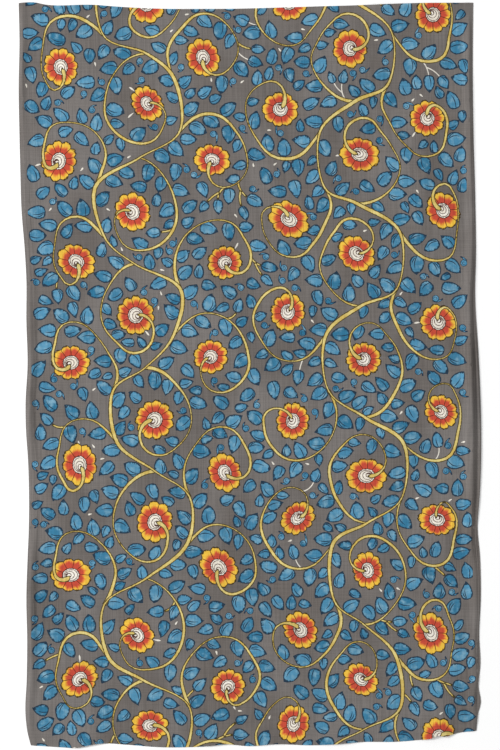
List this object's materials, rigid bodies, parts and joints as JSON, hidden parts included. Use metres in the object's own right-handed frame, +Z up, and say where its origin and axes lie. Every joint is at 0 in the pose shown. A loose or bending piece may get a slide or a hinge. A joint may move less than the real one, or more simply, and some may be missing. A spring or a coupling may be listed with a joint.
{
  "type": "kalamkari fabric length",
  "caption": "Cut length of painted cotton cloth lying flat face up, with soft narrow pleats along its selvedges and a flowering vine all over.",
  "frame": {"origin": "on the surface under the middle of the cloth", "axes": "+Y up the length of the cloth, +X across it towards the right selvedge, +Z up out of its painted face"},
  "size_m": [1.1444, 1.8427, 0.0124],
  "materials": {
    "painted_cotton": "matt cotton, painted with blue leaves, yellow vines and orange flowers on grey brown"
  },
  "bodies": {
    "root": {"cloth": "painted_cotton"}
  },
  "joints": []
}
